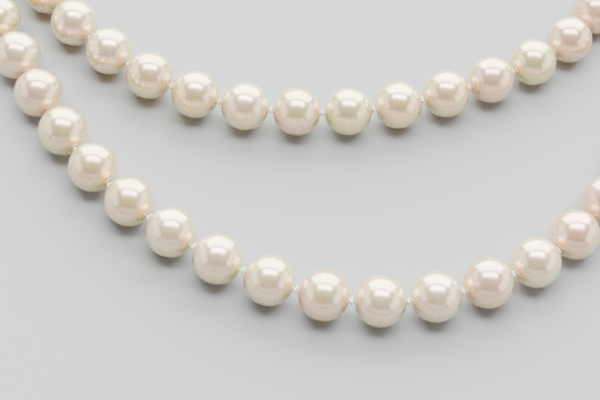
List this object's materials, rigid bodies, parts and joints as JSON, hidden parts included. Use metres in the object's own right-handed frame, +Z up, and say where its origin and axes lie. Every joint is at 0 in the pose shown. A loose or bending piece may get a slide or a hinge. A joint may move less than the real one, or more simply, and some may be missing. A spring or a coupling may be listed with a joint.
{
  "type": "pearl necklace",
  "caption": "Double-strand pearl necklace, knotted on silk, laid flat as a closed oval, with a magnetic bar clasp that parts at the back.",
  "frame": {"origin": "centre of the necklace's outline, on the surface it lies on", "axes": "+X across the necklace to the right as it is seen from the front, +Y from the front of the necklace to its clasp, +Z up"},
  "size_m": [0.1304, 0.1988, 0.0075],
  "materials": {
    "pearl": "cream white nacre with a soft satin lustre, faint pink and green overtones",
    "silk": "off-white twisted silk, knotted",
    "gold": "polished yellow gold plate",
    "magnet": "nickel plated"
  },
  "bodies": {
    "front": {"inner_silk_front": "silk", "outer_silk_front": "silk"},
    "left_1": {"inner_silk_left_1": "silk", "outer_silk_left_1": "silk"},
    "left_2": {"inner_run_left_2": "pearl", "outer_run_left_2": "pearl"},
    "left_3": {"inner_run_left_3": "pearl", "outer_run_left_3": "pearl"},
    "left_4": {"inner_run_left_4": "pearl", "outer_run_left_4": "pearl", "inner_gimp_left": "gold", "outer_gimp_left": "gold"},
    "clasp_left": {"clasp_shell_left": "gold", "clasp_magnet_left": "magnet"},
    "right_1": {"inner_silk_right_1": "silk", "outer_silk_right_1": "silk"},
    "right_2": {"inner_run_right_2": "pearl", "outer_run_right_2": "pearl"},
    "right_3": {"inner_run_right_3": "pearl", "outer_run_right_3": "pearl"},
    "right_4": {"inner_run_right_4": "pearl", "outer_run_right_4": "pearl", "inner_gimp_right": "gold", "outer_gimp_right": "gold"},
    "clasp_right": {"clasp_shell_right": "gold", "clasp_magnet_right": "magnet"},
    "inner_pearl_1": {"inner_pearl_1": "pearl"},
    "inner_pearl_2": {"inner_pearl_2": "pearl"},
    "inner_pearl_3": {"inner_pearl_3": "pearl"},
    "inner_pearl_4": {"inner_pearl_4": "pearl"},
    "inner_pearl_5": {"inner_pearl_5": "pearl"},
    "inner_pearl_6": {"inner_pearl_6": "pearl"},
    "inner_pearl_7": {"inner_pearl_7": "pearl"},
    "inner_pearl_8": {"inner_pearl_8": "pearl"},
    "inner_pearl_9": {"inner_pearl_9": "pearl"},
    "inner_pearl_10": {"inner_pearl_10": "pearl"},
    "inner_pearl_11": {"inner_pearl_11": "pearl"},
    "inner_pearl_12": {"inner_pearl_12": "pearl"},
    "inner_pearl_13": {"inner_pearl_13": "pearl"},
    "inner_pearl_14": {"inner_pearl_14": "pearl"},
    "outer_pearl_1": {"outer_pearl_1": "pearl"},
    "outer_pearl_2": {"outer_pearl_2": "pearl"},
    "outer_pearl_3": {"outer_pearl_3": "pearl"},
    "outer_pearl_4": {"outer_pearl_4": "pearl"},
    "outer_pearl_5": {"outer_pearl_5": "pearl"},
    "outer_pearl_6": {"outer_pearl_6": "pearl"},
    "outer_pearl_7": {"outer_pearl_7": "pearl"},
    "outer_pearl_8": {"outer_pearl_8": "pearl"},
    "outer_pearl_9": {"outer_pearl_9": "pearl"},
    "outer_pearl_10": {"outer_pearl_10": "pearl"},
    "outer_pearl_11": {"outer_pearl_11": "pearl"},
    "outer_pearl_12": {"outer_pearl_12": "pearl"},
    "outer_pearl_13": {"outer_pearl_13": "pearl"},
    "outer_pearl_14": {"outer_pearl_14": "pearl"},
    "outer_pearl_15": {"outer_pearl_15": "pearl"},
    "outer_pearl_16": {"outer_pearl_16": "pearl"}
  },
  "joints": [
    {"name": "clasp_swing_left", "type": "hinge", "parent": "left_4", "child": "clasp_left", "pos_m": [-0.00924, 0.09169, 0.0026], "axis": [0, -1, 0], "range_deg": [-60, 60]},
    {"name": "clasp_swing_right", "type": "hinge", "parent": "right_4", "child": "clasp_right", "pos_m": [0.00626, 0.09169, 0.0026], "axis": [0, 1, 0], "range_deg": [-60, 60]},
    {"name": "fold_left_1", "type": "hinge", "parent": "front", "child": "left_1", "pos_m": [-0.02097, -0.07407, 0.00373], "axis": [-0.0028, 1, -0.0021], "range_deg": [-35, 35]},
    {"name": "fold_left_2", "type": "hinge", "parent": "left_1", "child": "left_2", "pos_m": [-0.04183, -0.05587, 0.00373], "axis": [-0.1696, -0.9855, 0.0036], "range_deg": [-35, 35]},
    {"name": "fold_left_3", "type": "hinge", "parent": "left_2", "child": "left_3", "pos_m": [-0.057, 0.00503, 0.00373], "axis": [0.9613, -0.2754, -0.0053], "range_deg": [-35, 35]},
    {"name": "fold_left_4", "type": "hinge", "parent": "left_3", "child": "left_4", "pos_m": [-0.05008, 0.06033, 0.00373], "axis": [-0.9033, 0.4291, 0.0056], "range_deg": [-35, 35]},
    {"name": "fold_right_1", "type": "hinge", "parent": "front", "child": "right_1", "pos_m": [0.01747, -0.07722, 0.00373], "axis": [-0.0006, -1, 0.0014], "range_deg": [-35, 35]},
    {"name": "fold_right_2", "type": "hinge", "parent": "right_1", "child": "right_2", "pos_m": [0.0381, -0.06525, 0.00373], "axis": [-0.0287, 0.9996, -0.0013], "range_deg": [-35, 35]},
    {"name": "fold_right_3", "type": "hinge", "parent": "right_2", "child": "right_3", "pos_m": [0.05679, -0.00096, 0.00373], "axis": [0.9446, 0.3282, 0.0051], "range_deg": [-35, 35]},
    {"name": "fold_right_4", "type": "hinge", "parent": "right_3", "child": "right_4", "pos_m": [0.04873, 0.06193, 0.00373], "axis": [-0.8771, -0.4803, -0.0048], "range_deg": [-35, 35]},
    {"name": "turn_inner_pearl_1", "type": "hinge", "parent": "left_2", "child": "inner_pearl_1", "pos_m": [-0.04295, -0.04579, 0.0037], "axis": [0.5839, -0.8118, 0], "continuous": true},
    {"name": "turn_inner_pearl_2", "type": "hinge", "parent": "left_1", "child": "inner_pearl_2", "pos_m": [-0.0377, -0.05162, 0.0037], "axis": [0.7462, -0.6658, 0], "continuous": true},
    {"name": "turn_inner_pearl_3", "type": "hinge", "parent": "left_1", "child": "inner_pearl_3", "pos_m": [-0.03145, -0.05642, 0.0037], "axis": [0.8359, -0.5489, 0], "continuous": true},
    {"name": "turn_inner_pearl_4", "type": "hinge", "parent": "left_1", "child": "inner_pearl_4", "pos_m": [-0.02458, -0.06028, 0.0037], "axis": [0.9043, -0.4269, 0], "continuous": true},
    {"name": "turn_inner_pearl_5", "type": "hinge", "parent": "front", "child": "inner_pearl_5", "pos_m": [-0.01718, -0.06292, 0.0037], "axis": [0.9703, -0.2418, 0], "continuous": true},
    {"name": "turn_inner_pearl_6", "type": "hinge", "parent": "front", "child": "inner_pearl_6", "pos_m": [-0.00941, -0.0641, 0.0037], "axis": [0.9982, -0.0595, 0], "continuous": true},
    {"name": "turn_inner_pearl_7", "type": "hinge", "parent": "front", "child": "inner_pearl_7", "pos_m": [-0.00153, -0.06402, 0.0037], "axis": [0.9967, 0.0809, 0], "continuous": true},
    {"name": "turn_inner_pearl_8", "type": "hinge", "parent": "front", "child": "inner_pearl_8", "pos_m": [0.00626, -0.06284, 0.0037], "axis": [0.9759, 0.2184, 0], "continuous": true},
    {"name": "turn_inner_pearl_9", "type": "hinge", "parent": "front", "child": "inner_pearl_9", "pos_m": [0.0138, -0.06055, 0.0037], "axis": [0.9322, 0.3619, 0], "continuous": true},
    {"name": "turn_inner_pearl_10", "type": "hinge", "parent": "right_1", "child": "inner_pearl_10", "pos_m": [0.02101, -0.05734, 0.0037], "axis": [0.8928, 0.4504, 0], "continuous": true},
    {"name": "turn_inner_pearl_11", "type": "hinge", "parent": "right_1", "child": "inner_pearl_11", "pos_m": [0.02793, -0.05352, 0.0037], "axis": [0.8577, 0.5142, 0], "continuous": true},
    {"name": "turn_inner_pearl_12", "type": "hinge", "parent": "right_1", "child": "inner_pearl_12", "pos_m": [0.03444, -0.04908, 0.0037], "axis": [0.7911, 0.6117, 0], "continuous": true},
    {"name": "turn_inner_pearl_13", "type": "hinge", "parent": "right_2", "child": "inner_pearl_13", "pos_m": [0.04011, -0.04364, 0.0037], "axis": [0.6432, 0.7657, 0], "continuous": true},
    {"name": "turn_inner_pearl_14", "type": "hinge", "parent": "right_2", "child": "inner_pearl_14", "pos_m": [0.0444, -0.03709, 0.0037], "axis": [0.4463, 0.8949, 0], "continuous": true},
    {"name": "turn_outer_pearl_1", "type": "hinge", "parent": "left_2", "child": "outer_pearl_1", "pos_m": [-0.04976, -0.05262, 0.00375], "axis": [0.537, -0.8436, 0], "continuous": true},
    {"name": "turn_outer_pearl_2", "type": "hinge", "parent": "left_2", "child": "outer_pearl_2", "pos_m": [-0.0453, -0.05939, 0.00375], "axis": [0.5639, -0.8258, 0], "continuous": true},
    {"name": "turn_outer_pearl_3", "type": "hinge", "parent": "left_1", "child": "outer_pearl_3", "pos_m": [-0.04069, -0.06607, 0.00375], "axis": [0.571, -0.8209, 0], "continuous": true},
    {"name": "turn_outer_pearl_4", "type": "hinge", "parent": "left_1", "child": "outer_pearl_4", "pos_m": [-0.03584, -0.07255, 0.00375], "axis": [0.6272, -0.7789, 0], "continuous": true},
    {"name": "turn_outer_pearl_5", "type": "hinge", "parent": "left_1", "child": "outer_pearl_5", "pos_m": [-0.03035, -0.0785, 0.00375], "axis": [0.7258, -0.6879, 0], "continuous": true},
    {"name": "turn_outer_pearl_6", "type": "hinge", "parent": "left_1", "child": "outer_pearl_6", "pos_m": [-0.02418, -0.08373, 0.00375], "axis": [0.7982, -0.6025, 0], "continuous": true},
    {"name": "turn_outer_pearl_7", "type": "hinge", "parent": "front", "child": "outer_pearl_7", "pos_m": [-0.01745, -0.08823, 0.00375], "axis": [0.862, -0.507, 0], "continuous": true},
    {"name": "turn_outer_pearl_8", "type": "hinge", "parent": "front", "child": "outer_pearl_8", "pos_m": [-0.01021, -0.09182, 0.00375], "axis": [0.9249, -0.3801, 0], "continuous": true},
    {"name": "turn_outer_pearl_9", "type": "hinge", "parent": "front", "child": "outer_pearl_9", "pos_m": [-0.00254, -0.0944, 0.00375], "axis": [0.9663, -0.2573, 0], "continuous": true},
    {"name": "turn_outer_pearl_10", "type": "hinge", "parent": "front", "child": "outer_pearl_10", "pos_m": [0.0054, -0.09587, 0.00375], "axis": [0.9946, -0.1038, 0], "continuous": true},
    {"name": "turn_outer_pearl_11", "type": "hinge", "parent": "front", "child": "outer_pearl_11", "pos_m": [0.01345, -0.0958, 0.00375], "axis": [0.9928, 0.1196, 0], "continuous": true},
    {"name": "turn_outer_pearl_12", "type": "hinge", "parent": "right_1", "child": "outer_pearl_12", "pos_m": [0.02128, -0.09398, 0.00375], "axis": [0.9435, 0.3314, 0], "continuous": true},
    {"name": "turn_outer_pearl_13", "type": "hinge", "parent": "right_1", "child": "outer_pearl_13", "pos_m": [0.02867, -0.09072, 0.00375], "axis": [0.8815, 0.4721, 0], "continuous": true},
    {"name": "turn_outer_pearl_14", "type": "hinge", "parent": "right_1", "child": "outer_pearl_14", "pos_m": [0.03544, -0.08632, 0.00375], "axis": [0.7894, 0.6139, 0], "continuous": true},
    {"name": "turn_outer_pearl_15", "type": "hinge", "parent": "right_2", "child": "outer_pearl_15", "pos_m": [0.04117, -0.08068, 0.00375], "axis": [0.6257, 0.7801, 0], "continuous": true},
    {"name": "turn_outer_pearl_16", "type": "hinge", "parent": "right_2", "child": "outer_pearl_16", "pos_m": [0.04574, -0.07402, 0.00375], "axis": [0.5016, 0.8651, 0], "continuous": true}
  ]
}
